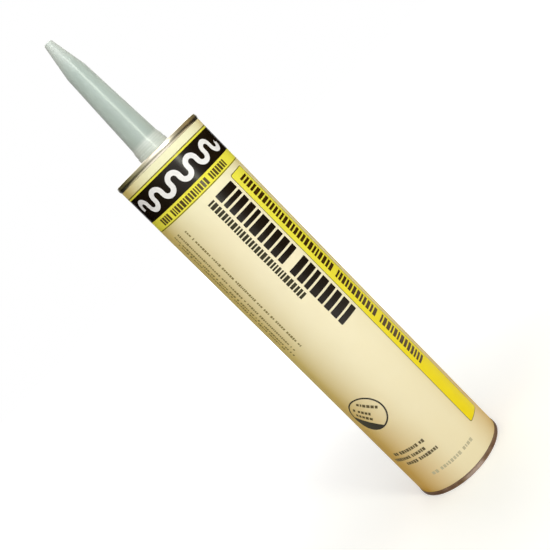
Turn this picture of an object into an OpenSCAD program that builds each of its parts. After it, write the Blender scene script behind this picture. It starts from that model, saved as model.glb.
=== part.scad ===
// Caulk tube: a fibreboard cartridge of construction adhesive with a seamed metal front end,
// a closed two-stage nozzle and a plunger that slides up the bore.
// It stands on its rear edge: the origin is the centre of that edge, +Z runs to the nozzle,
// and the front of the label faces -Y. All sizes are in millimetres.

/* [Body tube] */
// Length of the fibreboard tube, rear edge to front edge
tube_length = 213.6; // [160:0.1:300]
// Bore of the tube
tube_bore = 47.2; // [40:0.1:60]
// Thickness of the tube's wall
tube_wall = 1.2; // [0.9:0.05:2]
// How far the rear edge flares out past the wall
flare_proud = 0.4; // [0.2:0.05:0.8]
// Height of the flared rear edge
flare_height = 2.2; // [1.6:0.1:4]
// Radius on the flared edge's corners
flare_round = 0.4; // [0.2:0.05:0.6]
// Chamfer at the mouth of the bore
mouth_chamfer = 0.3; // [0.1:0.05:0.5]

/* [Label] */
// Thickness of the wrapped label
label_thickness = 0.15; // [0.1:0.01:0.3]
// Width of the label's overlap at the back
label_overlap = 7; // [4:0.5:14]
// Bare board between the flared edge and the label
label_rear_gap = 0.3; // [0.1:0.1:2]
// Gap between the label and the metal bead
label_front_gap = 0.1; // [0.05:0.05:1]

/* [Printed fields] */
// Thickness of the printed fields
ink_thickness = 0.05; // [0.03:0.01:0.1]
// Distance of the black band below the front of the label
black_band_drop = 5.2; // [2:0.1:12]
// Height of the black band
black_band_height = 13.8; // [8:0.1:24]
// Height of the yellow band below the black one
yellow_band_height = 6.2; // [4:0.1:12]
// Stroke width of the serpentine on the black band
serpentine_stroke = 2.5; // [1.2:0.1:2.6]
// Distance between the serpentine's legs
serpentine_pitch = 5.6; // [5:0.1:7]
// Height of the serpentine
serpentine_height = 9.6; // [7:0.1:11]
// Number of the serpentine's legs
serpentine_legs = 11; // [5:2:15]
// Width of the side panel
panel_width = 12.2; // [8:0.1:14]
// Distance round the label from its front line to the middle of the side panel
panel_offset = 23.6; // [22:0.1:30]
// Gap between the yellow band and the side panel
panel_drop = 3; // [1:0.1:8]
// Height of the side panel's lower end above the rear edge
panel_low = 16.9; // [8:0.1:40]
// Radius of the side panel's corners
panel_corner = 1.2; // [0.6:0.1:4]
// Length of the row of title bars, along the tube
title_length = 83.2; // [60:0.1:120]
// Width of the row of title bars
title_width = 11.2; // [6:0.1:12]
// Distance round the label from its front line to the middle of the title bars
title_offset = 10.3; // [8:0.1:11]
// Gap between the yellow band and the first title bar
title_drop = 4.5; // [2:0.1:12]
// Gap between two title bars
title_gap = 1.1; // [0.8:0.1:2]
// Gap between the two groups of title bars
title_space = 4.6; // [3:0.1:9]
// Outer radius of the ring emblem
emblem_radius = 10; // [6:0.1:12]
// Width of the ring emblem's rim
emblem_rim = 0.8; // [0.5:0.1:2]
// Distance of the filled segment's edge from the emblem's middle
emblem_chord = 5; // [3:0.1:7]
// Turn of that segment from the lowest place, clockwise
emblem_turn = 40; // [0:1:90]
// Distance round the label from its front line to the middle of the emblem
emblem_offset = -18.2; // [-24:0.1:-12]
// Height of the emblem's middle above the rear edge
emblem_height = 56.4; // [30:0.1:90]

/* [Front end] */
// Thickness of the sheet metal
metal_thickness = 0.3; // [0.2:0.02:0.4]
// Height of the seamed bead
bead_height = 3.2; // [2.4:0.1:5]
// How far the bead stands out past the tube's wall
bead_proud = 0.6; // [0.55:0.05:1.4]
// Radius on the bead's outer top edge
bead_round = 0.7; // [0.4:0.05:0.8]
// Depth of the groove inside the bead
groove_depth = 5.4; // [4.4:0.1:9]
// Outer radius of the groove's bend
groove_radius = 1.1; // [0.8:0.05:1.6]
// Depth of the outer panel below the bead's top
panel_depth = 3.4; // [2.6:0.1:4]
// Rise of the inner panel above the outer one
panel_step = 0.8; // [0.4:0.1:1.2]
// Radius of the inner panel
inner_panel_radius = 15.5; // [14:0.1:18]
// Height of the collar round the nozzle
collar_height = 1.5; // [0.8:0.1:1.7]

/* [Nozzle] */
// Height of the nozzle's tip above the bead
nozzle_reach = 68; // [45:0.1:110]
// Diameter of the nozzle's closed tip
tip_diameter = 4.6; // [2.8:0.1:6]
// Length of the steep taper behind the tip
steep_length = 17.5; // [10:0.1:25]
// Diameter where the steep taper ends
shoulder_diameter = 10.9; // [8:0.1:12]
// Diameter where the long taper meets the base
neck_diameter = 15.3; // [13:0.1:15.8]
// Diameter of the base
base_diameter = 17; // [16.6:0.1:20]
// Height of the base above the bead
base_height = 7; // [5:0.1:12]
// Wall of the nozzle
nozzle_wall = 1.2; // [0.8:0.05:1.3]
// Radius of the flange that holds the nozzle under the panel
flange_radius = 12; // [10.5:0.1:13.5]
// Thickness of that flange
flange_thickness = 1.4; // [0.8:0.1:1.6]
// Height of the step round the base above the bead
step_height = 2.5; // [1:0.1:3.5]
// How far the base steps in there
step_in = 0.3; // [0.1:0.05:0.5]
// Height of the cone between the base and the long taper
cone_height = 2.3; // [1:0.1:3]
// How far the ring that snaps over the collar stands out
ring_proud = 0.2; // [0.1:0.05:0.25]
// Width of that ring
ring_width = 1; // [0.5:0.1:1]
// Radius of the membrane under the flange
seal_radius = 10; // [8.6:0.1:10.4]
// Thickness of that membrane
seal_thickness = 0.1; // [0.08:0.01:0.2]

/* [Plunger and adhesive] */
// Length of the column of adhesive
fill_length = 176.5; // [100:0.1:178]
// Height of the plunger
plunger_height = 14; // [10:0.1:16]
// Wall of the plunger's skirt
skirt_wall = 1.3; // [1:0.05:2.5]
// Thickness of the plunger's web
web_thickness = 1.6; // [1.2:0.1:3]
// Depth of the dish in the plunger's face
dish_depth = 2; // [1:0.1:3]
// Radius of the dish's flat bottom
dish_radius = 14; // [8:0.1:16]
// Width of the dish's sloping side
dish_slope = 4; // [2:0.1:6]
// Height of each sealing lip
lip_height = 1.6; // [1:0.1:3]
// How far a lip stands out past the skirt
lip_proud = 0.35; // [0.2:0.05:0.6]

/* [Clearances] */
// Radial clearance between the plunger's lips and the bore
running_clearance = 0.05; // [0.02:0.01:0.1]
// Clearance between pieces that are seated on each other
seat_clearance = 0.02; // [0.01:0.01:0.05]
// Clearance between the adhesive and the plunger, and at the end of the stroke
soft_clearance = 0.3; // [0.2:0.05:0.6]
// Clearance between the adhesive and the fixed pieces round it
fill_clearance = 0.1; // [0.05:0.05:0.3]

/* [Hidden] */
$fn = 96;
full_turn = 360;
// Directions of the label's front and of its overlap, as angles from the X axis
front_angle = -90;
back_angle = 90;

bore_radius = tube_bore / 2;
tube_radius = bore_radius + tube_wall;
label_inner = tube_radius + seat_clearance;
label_radius = label_inner + label_thickness;
ink_inner = label_radius + seat_clearance;
ink_outer = ink_inner + ink_thickness;
over_ink = ink_outer + seat_clearance;

bead_radius = tube_radius + bead_proud;
bead_top = tube_length + seat_clearance + metal_thickness;
bead_bottom = bead_top - bead_height;

label_low = flare_height + label_rear_gap;
label_high = bead_bottom - label_front_gap;

black_high = label_high - black_band_drop;
black_low = black_high - black_band_height;
yellow_low = black_low - yellow_band_height;
panel_high = yellow_low - panel_drop;
title_high = yellow_low - title_drop;
// Shares of the title's length that its bars take, in two groups, from the front end down
title_shares = [
    [4.2, 2.4, 3.4, 3.4, 2.2, 4.4, 3, 3.4, 3.8, 3.1],
    [3.6, 3.6, 2.6, 4.2, 3.2, 3.4, 4, 3.1]
];
title_sums = [for (group = title_shares) total(group, len(group))];
title_gaps = [for (group = title_shares) (len(group) - 1) * title_gap];
// Length of one share
title_unit = (title_length - title_space - total(title_gaps, 2)) / total(title_sums, 2);

chuck_outer = bore_radius - seat_clearance;
chuck_inner = chuck_outer - metal_thickness;
groove_low = bead_top - groove_depth;
groove_mid_z = groove_low + groove_radius;
groove_mid_r = chuck_outer - groove_radius;
outer_panel_z = bead_top - panel_depth;
inner_panel_z = outer_panel_z + panel_step;
panel_edge = groove_mid_r - groove_radius;

base_radius = base_diameter / 2;
collar_bore = base_radius + seat_clearance;
collar_top = inner_panel_z + collar_height;

tip_z = bead_top + nozzle_reach;
shoulder_z = tip_z - steep_length;
neck_z = bead_top + base_height;
flange_high = inner_panel_z - metal_thickness - seat_clearance;
flange_low = flange_high - flange_thickness;
seal_high = flange_low - seat_clearance;
seal_low = seal_high - seal_thickness;
tip_round = 0.5;

column_high = groove_low - fill_clearance;
column_radius = bore_radius - fill_clearance;
crown_high = seal_low - fill_clearance;
crown_radius = panel_edge - fill_clearance;
plunger_front = column_high - fill_length;
plunger_rear = plunger_front - plunger_height;
lip_radius = bore_radius - running_clearance;
skirt_radius = lip_radius - lip_proud;
cup_radius = skirt_radius - skirt_wall;

// Angle round the label, from the X axis, of a distance measured from the front line
function wrap_angle(distance) = front_angle + distance / label_radius * 180 / PI;

// Sum of the first values of a list
function total(values, count) = count <= 0 ? 0 : values[count - 1] + total(values, count - 1);

// A ring, or a stretch of one, with a rectangular section
module ring_sector(inner, outer, low, high, start, sweep) {
    rotate([0, 0, start])
        rotate_extrude(angle = sweep)
            translate([inner, low])
                square([outer - inner, high - low]);
}

// A flat shape printed round the label at a radius, at a distance from the front line
module printed(distance, height, inner = ink_inner) {
    intersection() {
        rotate([0, 0, wrap_angle(distance) - front_angle])
            translate([0, 0, height])
                rotate([90, 0, 0])
                    linear_extrude(height = label_radius + 1)
                        children();
        ring_sector(inner, inner + ink_thickness, label_low, label_high, 0, full_turn);
    }
}

// A band of ink right round the label, which steps up over the overlap at the back
module printed_band(low, high) {
    overlap_angle = label_overlap / label_radius * 180 / PI;
    start = back_angle + overlap_angle / 2;
    step = label_thickness;
    ring_sector(ink_inner, ink_outer, low, high, start, full_turn - overlap_angle);
    ring_sector(ink_inner + step, ink_outer + step, low, high, start - overlap_angle, overlap_angle);
}

// Convolute fibreboard tube with its slightly flared rear edge
module body_tube() {
    flare_radius = tube_radius + flare_proud;
    flare_depth = flare_radius - bore_radius;
    color([0.45, 0.31, 0.2])
        rotate_extrude()
            difference() {
                union() {
                    translate([bore_radius, 0])
                        square([tube_wall, tube_length]);
                    translate([bore_radius, 0])
                        square([flare_depth - flare_round, flare_height]);
                    translate([bore_radius, flare_round])
                        square([flare_depth, flare_height - 2 * flare_round]);
                    for (z = [flare_round, flare_height - flare_round])
                        translate([flare_radius - flare_round, z])
                            circle(r = flare_round);
                }
                // Chamfer at the mouth
                polygon([
                    [bore_radius - mouth_chamfer, -mouth_chamfer],
                    [bore_radius + 2 * mouth_chamfer, -mouth_chamfer],
                    [bore_radius - mouth_chamfer, 2 * mouth_chamfer]
                ]);
            }
}

// Printed paper wrapped once round the tube, its end lapped over its start at the back
module label() {
    overlap_angle = label_overlap / label_radius * 180 / PI;
    color([0.95, 0.91, 0.72]) {
        ring_sector(label_inner, label_radius, label_low, label_high, 0, full_turn);
        ring_sector(
            label_inner + label_thickness / 2, label_radius + label_thickness, label_low, label_high,
            back_angle - overlap_angle / 2, overlap_angle
        );
    }
}

module black_band() {
    color([0.07, 0.06, 0.06])
        printed_band(black_low, black_high);
}

module yellow_band() {
    color([0.93, 0.85, 0.1])
        printed_band(yellow_low, black_low);
}

// Plain serpentine, laid the way a bead of adhesive is laid on a board
module serpentine() {
    bend_radius = serpentine_pitch / 2;
    leg_half = serpentine_height / 2 - bend_radius - serpentine_stroke / 2;
    middle = (black_low + black_high) / 2;
    first = -(serpentine_legs - 1) / 2 * serpentine_pitch;
    join = 0.2;
    color([0.96, 0.96, 0.97])
        union() {
            for (leg = [0 : serpentine_legs - 1])
                printed(first + leg * serpentine_pitch, middle, over_ink)
                    square([serpentine_stroke, 2 * leg_half + join], center = true);
            for (bend = [0 : serpentine_legs - 2]) {
                side = bend % 2 == 0 ? 1 : -1;
                printed(first + (bend + 0.5) * serpentine_pitch, middle + side * leg_half, over_ink)
                    half_ring(bend_radius, serpentine_stroke, side);
            }
        }
}

// Upper or lower half of a flat ring
module half_ring(radius, stroke, side) {
    intersection() {
        difference() {
            circle(r = radius + stroke / 2);
            circle(r = radius - stroke / 2);
        }
        translate([-radius - stroke, side > 0 ? 0 : -radius - stroke])
            square([2 * (radius + stroke), radius + stroke]);
    }
}

// Tall yellow panel down the side of the label, its corners rounded
module side_panel() {
    half = panel_width / 2;
    color([0.93, 0.85, 0.1])
        printed(panel_offset, 0)
            union() {
                translate([-half, panel_low + panel_corner])
                    square([panel_width, panel_high - panel_low - 2 * panel_corner]);
                translate([-half + panel_corner, panel_low])
                    square([panel_width - 2 * panel_corner, panel_high - panel_low]);
                for (side = [-1, 1], z = [panel_low + panel_corner, panel_high - panel_corner])
                    translate([side * (half - panel_corner), z])
                        circle(r = panel_corner);
            }
}

// Two groups of plain dark bars where a title would run along the tube
module title_blocks() {
    bar_angle = title_width / label_radius * 180 / PI;
    color([0.13, 0.11, 0.08])
        for (group = [0 : len(title_shares) - 1]) {
            shares = title_shares[group];
            above = group == 0 ? 0 : title_sums[0] * title_unit + title_gaps[0] + title_space;
            for (bar = [0 : len(shares) - 1]) {
                high = title_high - above - total(shares, bar) * title_unit - bar * title_gap;
                ring_sector(
                    ink_inner, ink_outer, high - shares[bar] * title_unit, high,
                    wrap_angle(title_offset) - bar_angle / 2, bar_angle
                );
            }
        }
}

// Plain ring with one segment filled
module ring_emblem() {
    inner = emblem_radius - emblem_rim;
    color([0.2, 0.17, 0.1])
        printed(emblem_offset, emblem_height)
            union() {
                difference() {
                    circle(r = emblem_radius);
                    circle(r = inner);
                }
                rotate([0, 0, -emblem_turn])
                    intersection() {
                        circle(r = inner + emblem_rim / 2);
                        translate([-emblem_radius, -emblem_radius])
                            square([2 * emblem_radius, emblem_radius - emblem_chord]);
                    }
            }
}

// Section of the sheet-metal end: bead seamed over the tube, groove, stepped panel and collar
module front_end_section() {
    inner_round = 0.4;
    skirt_round = 0.35;
    // The slot takes the edge of the tube
    slot_width = tube_radius + seat_clearance - chuck_outer;
    slot_high = tube_length + seat_clearance;
    // Bead over the tube's edge, its corners rounded
    difference() {
        union() {
            translate([chuck_inner, bead_bottom + skirt_round])
                square([bead_radius - chuck_inner, bead_height - skirt_round - bead_round]);
            translate([chuck_inner, bead_bottom])
                square([bead_radius - skirt_round - chuck_inner, skirt_round + 0.1]);
            translate([chuck_inner + inner_round, bead_top - bead_round - 0.1])
                square([bead_radius - bead_round - chuck_inner - inner_round, bead_round + 0.1]);
            translate([chuck_inner, bead_top - bead_round - 0.1])
                square([inner_round + 0.1, bead_round + 0.1 - inner_round]);
            translate([bead_radius - bead_round, bead_top - bead_round])
                circle(r = bead_round);
            translate([chuck_inner + inner_round, bead_top - inner_round])
                circle(r = inner_round);
            translate([bead_radius - skirt_round, bead_bottom + skirt_round])
                circle(r = skirt_round);
        }
        translate([chuck_outer, bead_bottom - 1])
            square([slot_width, slot_high - bead_bottom + 1]);
    }
    // Wall that plugs the bore
    translate([chuck_inner, groove_mid_z])
        square([metal_thickness, bead_bottom - groove_mid_z + 0.1]);
    // Groove at its foot
    translate([groove_mid_r, groove_mid_z])
        intersection() {
            difference() {
                circle(r = groove_radius);
                circle(r = groove_radius - metal_thickness);
            }
            translate([-groove_radius, -groove_radius])
                square([2 * groove_radius, groove_radius]);
        }
    translate([panel_edge, groove_mid_z])
        square([metal_thickness, outer_panel_z - groove_mid_z]);
    // Outer panel, step, inner panel and collar
    translate([inner_panel_radius, outer_panel_z - metal_thickness])
        square([panel_edge + metal_thickness - inner_panel_radius, metal_thickness]);
    translate([inner_panel_radius, outer_panel_z - metal_thickness])
        square([metal_thickness, panel_step + metal_thickness]);
    translate([collar_bore, inner_panel_z - metal_thickness])
        square([inner_panel_radius + metal_thickness - collar_bore, metal_thickness]);
    translate([collar_bore, inner_panel_z - metal_thickness])
        square([metal_thickness, collar_height + metal_thickness]);
}

// Sheet-metal front end, one pressing with its edge seamed over the tube
module front_end() {
    color([0.62, 0.57, 0.47])
        rotate_extrude()
            front_end_section();
}

// Hollow moulding with a closed tip, held by a flange under the panel and a ring over the collar
module nozzle() {
    shoulder_r = shoulder_diameter / 2;
    neck_r = neck_diameter / 2;
    tip_r = tip_diameter / 2;
    step_z = bead_top + step_height;
    cone_z = neck_z - cone_height;
    upper_radius = base_radius - step_in;
    passage_foot = upper_radius - nozzle_wall;
    color([0.72, 0.78, 0.74])
        rotate_extrude()
            difference() {
                union() {
                    polygon([
                        [0, flange_low],
                        [flange_radius, flange_low],
                        [flange_radius, flange_high],
                        [base_radius, flange_high],
                        [base_radius, step_z - step_in / 2],
                        [base_radius - step_in / 2, step_z],
                        [upper_radius, step_z],
                        [upper_radius, cone_z],
                        [neck_r, neck_z],
                        [shoulder_r, shoulder_z],
                        [tip_r, tip_z - tip_round],
                        [tip_r - tip_round / 2, tip_z],
                        [0, tip_z]
                    ]);
                    translate([upper_radius, collar_top + seat_clearance])
                        square([base_radius + ring_proud - upper_radius, ring_width]);
                }
                // Passage, closed at the tip
                polygon([
                    [-1, flange_low - 1],
                    [passage_foot, flange_low - 1],
                    [passage_foot, cone_z],
                    [neck_r - nozzle_wall, neck_z],
                    [shoulder_r - nozzle_wall, shoulder_z],
                    [(tip_r - nozzle_wall) * 1.5, tip_z - nozzle_wall],
                    [-1, tip_z - nozzle_wall]
                ]);
            }
}

// Membrane across the foot of the nozzle, broken before first use
module inner_seal() {
    color([0.8, 0.8, 0.82])
        translate([0, 0, seal_low])
            cylinder(r = seal_radius, h = seal_thickness);
}

// Column of adhesive between the plunger and the front end
module adhesive() {
    low = plunger_front + soft_clearance;
    dish_low = low - dish_depth;
    color([0.8, 0.72, 0.56])
        rotate_extrude()
            polygon([
                [0, dish_low],
                [dish_radius - fill_clearance, dish_low],
                [dish_radius + dish_slope - fill_clearance, low],
                [column_radius, low],
                [column_radius, column_high],
                [crown_radius, column_high],
                [crown_radius, crown_high],
                [0, crown_high]
            ]);
}

// Moulded cup that slides up the bore, open to the rear for a push plate
module plunger() {
    web_low = plunger_front - dish_depth - web_thickness;
    lip_flat = lip_height / 2;
    color([0.9, 0.9, 0.88])
        rotate_extrude()
            difference() {
                polygon([
                    [0, plunger_rear],
                    [lip_radius - 0.2, plunger_rear],
                    [lip_radius, plunger_rear + 0.2],
                    [lip_radius, plunger_rear + lip_flat],
                    [skirt_radius, plunger_rear + lip_height],
                    [skirt_radius, plunger_front - lip_height],
                    [lip_radius, plunger_front - lip_flat],
                    [lip_radius, plunger_front],
                    [dish_radius + dish_slope, plunger_front],
                    [dish_radius, plunger_front - dish_depth],
                    [0, plunger_front - dish_depth]
                ]);
                polygon([
                    [-1, plunger_rear - 1],
                    [cup_radius, plunger_rear - 1],
                    [cup_radius, plunger_front - web_thickness - dish_depth / 2],
                    [cup_radius - 1, plunger_front - web_thickness],
                    [dish_radius + dish_slope, plunger_front - web_thickness],
                    [dish_radius, web_low],
                    [-1, web_low]
                ]);
            }
}

body_tube();
label();
black_band();
yellow_band();
serpentine();
side_panel();
title_blocks();
ring_emblem();
front_end();
nozzle();
inner_seal();
adhesive();
plunger();
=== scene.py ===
# Caulk tube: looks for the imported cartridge. Metres, nozzle up, front of the label towards -Y.
import math
import re
import bmesh
import bpy
from mathutils import Matrix, Vector


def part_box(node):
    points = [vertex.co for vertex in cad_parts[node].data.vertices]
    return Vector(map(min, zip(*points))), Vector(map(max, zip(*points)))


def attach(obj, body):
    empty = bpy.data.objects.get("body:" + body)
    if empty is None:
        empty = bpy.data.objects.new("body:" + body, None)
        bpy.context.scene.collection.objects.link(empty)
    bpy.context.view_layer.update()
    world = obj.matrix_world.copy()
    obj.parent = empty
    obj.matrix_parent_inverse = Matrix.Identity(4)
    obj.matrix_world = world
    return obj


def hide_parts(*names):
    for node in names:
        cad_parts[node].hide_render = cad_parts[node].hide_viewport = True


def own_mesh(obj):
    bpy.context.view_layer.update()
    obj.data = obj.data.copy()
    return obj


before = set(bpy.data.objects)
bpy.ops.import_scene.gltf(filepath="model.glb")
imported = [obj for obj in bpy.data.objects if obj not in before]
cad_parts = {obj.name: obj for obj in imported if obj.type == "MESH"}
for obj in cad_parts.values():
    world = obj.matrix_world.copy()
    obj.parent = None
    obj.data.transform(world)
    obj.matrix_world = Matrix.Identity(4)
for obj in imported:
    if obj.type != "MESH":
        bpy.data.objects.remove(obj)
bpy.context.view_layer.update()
mm = 0.001
turns = 256  # segments of everything that is round
weld = 1e-7  # vertices closer than this are one


def linear(code):
    # Linear colour of a written one such as f2e9c5
    values = [int(code[i:i + 2], 16) / 255 for i in (0, 2, 4)]
    return (*(v / 12.92 if v <= 0.04045 else ((v + 0.055) / 1.055) ** 2.4 for v in values), 1)


# Node work, for materials and for geometry

class Wire:
    # One output socket, so that sums on it are written as sums
    def __init__(self, board, socket):
        self.board = board
        self.socket = socket

    def maths(self, operation, *others):
        return self.board.maths(operation, self, *others)

    def __add__(self, other):
        return self.maths("ADD", other)

    def __sub__(self, other):
        return self.maths("SUBTRACT", other)

    def __rsub__(self, other):
        return self.board.maths("SUBTRACT", other, self)

    def __mul__(self, other):
        return self.maths("MULTIPLY", other)

    def __truediv__(self, other):
        return self.maths("DIVIDE", other)

    def __pow__(self, other):
        return self.maths("POWER", other)

    def __neg__(self):
        return self * -1.0

    __radd__ = __add__
    __rmul__ = __mul__

    def above(self, edge, soft):
        # 0 below the edge, 1 above it, with a soft step between
        return self.board.node("ShaderNodeMapRange", {"interpolation_type": "SMOOTHSTEP"}, {
            "Value": self, "From Min": edge - soft, "From Max": edge + soft,
        }).out()

    def between(self, low, high, soft):
        return self.above(low, soft) * (1 - self.above(high, soft))


class Made:
    # A node that was just made
    def __init__(self, board, node):
        self.board = board
        self.node = node

    def out(self, key=0):
        live = [s for s in self.node.outputs if s.enabled]
        if isinstance(key, int):
            return Wire(self.board, live[key])
        return Wire(self.board, [s for s in live if s.name == key][0])


class Board:
    # A node tree under construction. Every node comes from the one method
    def __init__(self, tree):
        self.tree = tree

    def node(self, kind, settings=None, inputs=None):
        made = self.tree.nodes.new(kind)
        for name, value in (settings or {}).items():
            if name == "stops":
                self.setStops(made.color_ramp, value)
            else:
                setattr(made, name, value)
        for key, value in (inputs or {}).items():
            self.feed(self.find(made, key), value)
        return Made(self, made)

    def find(self, made, key):
        if isinstance(key, int):
            return made.inputs[key]
        return [s for s in made.inputs if s.name == key and s.enabled][0]

    def setStops(self, ramp, stops):
        while len(ramp.elements) < len(stops):
            ramp.elements.new(0.5)
        for element, (place, colour) in zip(ramp.elements, stops):
            element.position = place
            element.color = colour

    def feed(self, socket, value):
        if isinstance(value, Wire):
            self.tree.links.new(value.socket, socket)
        elif isinstance(value, str):
            socket.default_value = linear(value)
        else:
            socket.default_value = value

    def maths(self, operation, *terms):
        return self.node("ShaderNodeMath", {"operation": operation}, dict(enumerate(terms))).out()


class Finish(Board):
    # A material on the Principled shader
    def __init__(self, name, **fixed):
        self.material = bpy.data.materials.new(name)
        self.material.use_nodes = True
        super().__init__(self.material.node_tree)
        self.shader = self.tree.nodes["Principled BSDF"]
        self.place = self.node("ShaderNodeTexCoord").out("Object")
        self.set(**fixed)

    def set(self, **sockets):
        for name, value in sockets.items():
            title = re.sub("(?<=[a-z])(?=[A-Z])|(?<=IOR)(?=[A-Z])", " ", name)
            self.feed(self.shader.inputs[title], value)

    def axes(self):
        parts = self.node("ShaderNodeSeparateXYZ", None, {0: self.place})
        return parts.out("X"), parts.out("Y"), parts.out("Z")

    def noise(self, scale, detail, roughness, stretch=(1, 1, 1)):
        moved = self.node("ShaderNodeMapping", None, {"Vector": self.place, "Scale": stretch})
        return self.node("ShaderNodeTexNoise", None, {
            "Vector": moved.out(), "Scale": scale, "Detail": detail, "Roughness": roughness,
        }).out()

    def mix(self, factor, first, second):
        return self.node("ShaderNodeMix", {"data_type": "RGBA"}, {
            "Factor": factor, "A": first, "B": second,
        }).out()

    def bump(self, height, distance, strength, under=None):
        inputs = {"Height": height, "Distance": distance, "Strength": strength}
        if under is not None:
            inputs["Normal"] = under
        return self.node("ShaderNodeBump", None, inputs).out()


def fromAxis(x, y):
    # Distance from the Z axis
    return (x * x + y * y).maths("SQRT")


# Mesh work

def newMesh(name, verts, faces):
    mesh = bpy.data.meshes.new(name)
    mesh.from_pydata(verts, [], faces)
    return mesh


def newObject(name, data):
    made = bpy.data.objects.new(name, data)
    bpy.context.scene.collection.objects.link(made)
    return made


def arc(centreR, centreZ, radius, start, end, steps=6):
    # Points of a round stretch of a section, angles in degrees from the outward radius
    points = []
    for step in range(steps + 1):
        angle = math.radians(start + (end - start) * step / steps)
        points.append((centreR + radius * math.cos(angle), centreZ + radius * math.sin(angle)))
    return points


def finishMesh(name, mesh, material, sharp=35):
    # Closes doubles, turns faces outwards, shades the mesh and makes its object
    work = bmesh.new()
    work.from_mesh(mesh)
    bmesh.ops.remove_doubles(work, verts=work.verts, dist=weld)
    bmesh.ops.recalc_face_normals(work, faces=work.faces)
    work.to_mesh(mesh)
    work.free()
    mesh.shade_smooth()
    mesh.set_sharp_from_angle(angle=math.radians(sharp))
    mesh.materials.clear()
    mesh.materials.append(material)
    return newObject(name, mesh)


def spin(name, section, material, sharp=35):
    # Spins a closed section, given in millimetres, round Z. Points on the axis become one pole
    verts = []
    rings = []
    for radius, height in section:
        if radius < 1e-6:
            rings.append([len(verts)] * turns)
            verts.append((0, 0, height * mm))
            continue
        rings.append([len(verts) + i for i in range(turns)])
        for i in range(turns):
            angle = 2 * math.pi * i / turns
            x, y = math.cos(angle), math.sin(angle)
            verts.append((radius * mm * x, radius * mm * y, height * mm))
    faces = []
    for here, there in zip(rings, rings[1:] + rings[:1]):
        for i in range(turns):
            j = (i + 1) % turns
            corner = [here[i], here[j], there[j], there[i]]
            corner = [v for n, v in enumerate(corner) if v not in corner[:n]]
            if len(corner) > 2:
                faces.append(corner)
    return finishMesh(name, newMesh(name, verts, faces), material, sharp)


def stripMesh(name, strips):
    # Flat mesh in the XZ plane, in millimetres. A strip is a row of point pairs. It is filled
    # between them with quads short enough to bend round the tube
    verts = []
    faces = []
    for strip in strips:
        first = len(verts)
        across = max(1, math.ceil(max(abs(end[0] - start[0]) for start, end in strip)))
        row = across + 1
        for start, end in strip:
            for k in range(row):
                x = start[0] + (end[0] - start[0]) * k / across
                z = start[1] + (end[1] - start[1]) * k / across
                verts.append((x * mm, 0, z * mm))
        for i in range(len(strip) - 1):
            for k in range(across):
                a = first + i * row + k
                faces.append((a, a + row, a + row + 1, a + 1))
    return newMesh(name, verts, faces)


def roundedStrip(left, right, low, high, corner):
    # A rectangle with rounded corners, cut into upright columns
    step = 0.5
    places = [left + (1 - math.cos(math.radians(a))) * corner for a in range(0, 91, 15)]
    count = max(2, math.ceil((right - left - 2 * corner) / step))
    middle = [left + corner + (right - left - 2 * corner) * i / count for i in range(1, count)]
    places += middle + [left + right - x for x in reversed(places)]
    strip = []
    for x in sorted(set(round(x, 5) for x in places)):
        inset = max(0, left + corner - x, x - right + corner)
        drop = corner - math.sqrt(max(0, corner ** 2 - inset ** 2))
        strip.append(((x, low + drop), (x, high - drop)))
    return strip


def joined(name, pieces, material):
    # One mesh of several print pieces
    work = bmesh.new()
    for piece in pieces:
        work.from_mesh(piece.data)
        bpy.data.objects.remove(piece)
    mesh = bpy.data.meshes.new(name)
    work.to_mesh(mesh)
    work.free()
    return finishMesh(name, mesh, material, 60)


def rideOn(piece, body, slot, *nodes):
    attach(piece, body)
    if nodes:
        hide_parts(*nodes)


# Sizes that come from the frame, in millimetres

def boxOf(node):
    low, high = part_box(node)
    return low / mm, high / mm


tubeHigh = boxOf("body_tube")[1]
labelLow, labelHigh = boxOf("label")
frontLow, frontHigh = boxOf("front_end")
nozzleLow, nozzleHigh = boxOf("nozzle")
sealLow, sealHigh = boxOf("inner_seal")
pasteLow, pasteHigh = boxOf("adhesive")
cupLow, cupHigh = boxOf("plunger")
labelRadius = labelHigh.x
flareRadius = tubeHigh.x
beadRadius = frontHigh.x
lipRadius = cupHigh.x


# Geometry Nodes: print that is drawn flat and wrapped round the tube

def newTree(name, inputs):
    tree = bpy.data.node_groups.new(name, "GeometryNodeTree")
    tree.interface.new_socket("Geometry", in_out="INPUT", socket_type="NodeSocketGeometry")
    for kind, titles in inputs.items():
        for title in titles:
            tree.interface.new_socket(title, in_out="INPUT", socket_type="NodeSocket" + kind)
    tree.interface.new_socket("Geometry", in_out="OUTPUT", socket_type="NodeSocketGeometry")
    board = Board(tree)
    source = board.node("NodeGroupInput")
    sink = board.node("NodeGroupOutput")
    return tree, board, source, sink


def wrapTree():
    # Bends a flat print, x along the wrap and z up, onto a tube of the given radius
    tree, board, source, sink = newTree("wrapRoundTube", {
        "Float": ["Radius"],
        "Material": ["Ink"],
    })
    radius = source.out("Radius")
    position = board.node("GeometryNodeInputPosition").out()
    place = board.node("ShaderNodeSeparateXYZ", None, {0: position})
    angle = place.out("X") / radius
    bent = board.node("ShaderNodeCombineXYZ", None, {
        "X": angle.maths("SINE") * radius,
        "Y": -(angle.maths("COSINE") * radius),
        "Z": place.out("Z"),
    })
    moved = board.node("GeometryNodeSetPosition", None, {
        "Geometry": source.out("Geometry"), "Position": bent.out(),
    })
    whole = board.node("GeometryNodeRealizeInstances", None, {"Geometry": moved.out()})
    inked = board.node("GeometryNodeSetMaterial", None, {
        "Geometry": whole.out(), "Material": source.out("Ink"),
    })
    board.feed(sink.node.inputs[0], inked.out())
    return tree


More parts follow.
